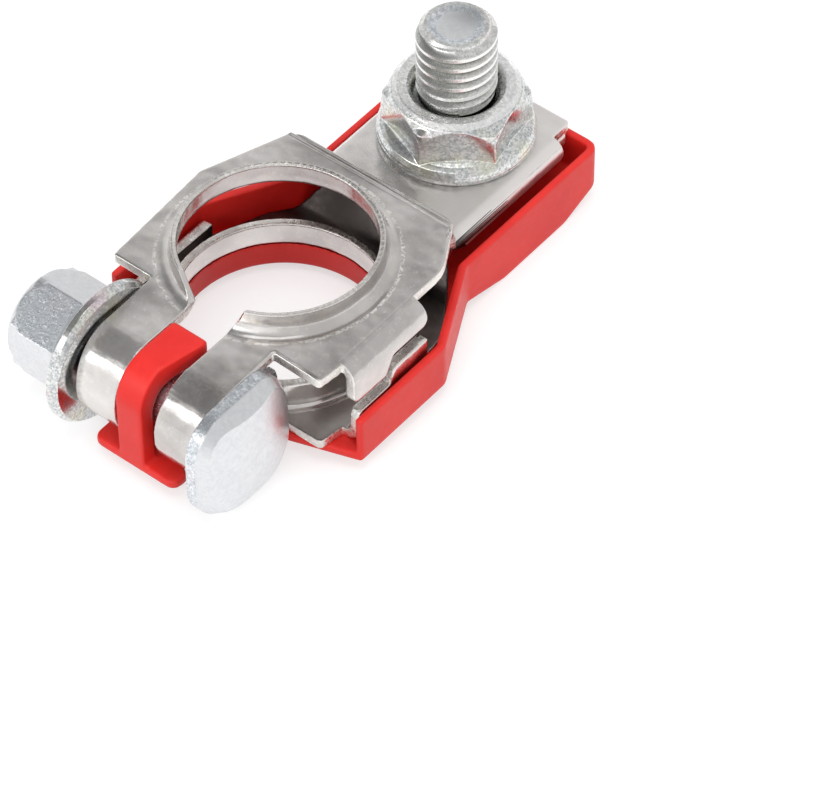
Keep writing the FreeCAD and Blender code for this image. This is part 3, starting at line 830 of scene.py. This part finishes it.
def add_floor():
    """A white floor that keeps the shadow."""
    material, tree = new_material("white_floor")
    diffuse = add(tree, "ShaderNodeBsdfDiffuse")
    diffuse.inputs["Color"].default_value = (0.5, 0.5, 0.5, 1)
    glow = add(tree, "ShaderNodeEmission")
    path = add(tree, "ShaderNodeLightPath")
    seen = math_node(tree, "MAXIMUM", path.outputs["Is Camera Ray"], path.outputs["Is Glossy Ray"])
    seen = math_node(tree, "MAXIMUM", seen, path.outputs["Is Transmission Ray"])
    join(tree, times(tree, seen, 0.6), glow.inputs["Strength"])
    both = add(tree, "ShaderNodeAddShader")
    join(tree, diffuse.outputs[0], both.inputs[0])
    join(tree, glow.outputs[0], both.inputs[1])
    output = add(tree, "ShaderNodeOutputMaterial")
    join(tree, both.outputs[0], output.inputs["Surface"])
    bm = bmesh.new()
    lathe(bm, [(0, 0), (0.4, 0), (0.8, 0)], columns=48)
    for vert in bm.verts:
        vert.co.z += base_z - 0.02 * mm
    bmesh.ops.recalc_face_normals(bm, faces=bm.faces)
    mesh = bpy.data.meshes.new("white_floor")
    bm.to_mesh(mesh)
    bm.free()
    mesh.materials.append(material)
    floor = bpy.data.objects.new("white_floor", mesh)
    bpy.context.scene.collection.objects.link(floor)


def add_world():
    """A white room for the metal to mirror, brighter in front and right above.

    A dim patch high at the left keeps the flat metal grey.
    """
    world = bpy.data.worlds.new("soft_room")
    bpy.context.scene.world = world
    world.use_nodes = True
    tree = world.node_tree
    tree.nodes.clear()
    direction = add(tree, "ShaderNodeTexCoord")

    def toward(way):
        dot = add(tree, "ShaderNodeVectorMath", operation="DOT_PRODUCT")
        join(tree, direction.outputs["Generated"], dot.inputs[0])
        dot.inputs[1].default_value = Vector(way).normalized()
        return dot.outputs["Value"]

    ahead = toward((-0.1, -0.9, 0.2))
    high_left = toward((-0.43, -0.15, 0.89))
    zenith = toward((-0.04, 0.0, 1.0))
    level = remap(tree, ahead, 0.67, 0.77, 0.98, 1.55)
    level = times(tree, level, remap(tree, ahead, 0.86, 0.96, 1.0, 0.75))
    level = times(tree, level, remap(tree, high_left, 0.72, 0.90, 1.0, 0.36))
    level = math_node(tree, "MAXIMUM", level, remap(tree, zenith, 0.962, 0.982, 0.0, 1.7))
    background = add(tree, "ShaderNodeBackground")
    join(tree, level, background.inputs["Strength"])
    output = add(tree, "ShaderNodeOutputWorld")
    join(tree, background.outputs[0], output.inputs["Surface"])


def add_lamp(name, place, size, power, mirrored):
    """A lamp aimed at the origin, which the metal mirrors or not."""
    data = bpy.data.lights.new(name, "AREA")
    data.shape = "RECTANGLE"
    data.size, data.size_y = size
    data.energy = power
    lamp = bpy.data.objects.new(name, data)
    lamp.location = place
    lamp.rotation_euler = (-Vector(place)).to_track_quat("-Z", "Y").to_euler()
    lamp.visible_glossy = mirrored
    bpy.context.scene.collection.objects.link(lamp)


# The pressing's materials: tin plating with painted light, cut edges with a painted highlight, and
# the inner side in painted shade.
SHEET_FINISHES_AND_SHADE = [tin_plating(), sheared_edge_highlight(), pocket_shaded_tin()]
ZINC = zinc_plating(
    "zinc_plating",
    dark=(0.46, 0.48, 0.49),
    light=(0.80, 0.81, 0.80),
    seed=3.0,
    tints=0.4,
    grain_mm=0.2,
    glint_strength=0.4,
    roughness=(0.12, 0.22),
    relief_mm=0.0015,
)
ZINC_STUD = zinc_plating(
    "zinc_plating_stud",
    dark=(0.56, 0.57, 0.56),
    light=(0.80, 0.81, 0.79),
    seed=8.0,
    tints=0.12,
    grain_mm=0.2,
    glint_strength=0.3,
    roughness=(0.2, 0.32),
    relief_mm=0.002,
    grooves=True,
)
# Pale zinc of the cable nut's upper end, with strong painted glints.
ZINC_SPARKLING = zinc_plating(
    "zinc_plating_sparkling",
    dark=(0.78, 0.79, 0.79),
    light=(0.97, 0.97, 0.96),
    seed=4.0,
    tints=0.1,
    grain_mm=0.26,
    glint_strength=0.9,
    roughness=(0.2, 0.45),
    relief_mm=0.016,
)
ZINC_ROUGH = zinc_plating(
    "zinc_plating_rough",
    dark=(0.52, 0.55, 0.59),
    light=(0.78, 0.82, 0.86),
    seed=6.0,
    tints=0.08,
    grain_mm=0.22,
    glint_strength=0.95,
    roughness=(0.25, 0.42),
    relief_mm=0.014,
)
ZINC_WHITE = zinc_plating(
    "zinc_plating_white",
    dark=(0.70, 0.71, 0.73),
    light=(0.75, 0.76, 0.78),
    seed=5.0,
    tints=0.04,
    grain_mm=0.3,
    glint_strength=0.1,
    roughness=(0.32, 0.38),
    relief_mm=0.0006,
)
RED = moulded_red()

bpy.context.scene.view_settings.view_transform = "Standard"
add_camera()
add_floor()
add_world()
add_lamp("top_light", (0.02, -0.05, 0.55), (0.34, 0.34), 0.9, mirrored=False)
add_lamp("front_light", (-0.16, -0.50, 0.34), (0.44, 0.14), 0.55, mirrored=True)
add_lamp("fill_light", (0.0, -0.50, 0.22), (0.3, 0.2), 0.2, mirrored=False)
add_lamp("side_light", (0.50, -0.20, 0.22), (0.3, 0.2), 0.5, mirrored=False)

clamp_sheet()
cover()
cable_nut()
clamp_nut()
cable_stud()
clamp_bolt()
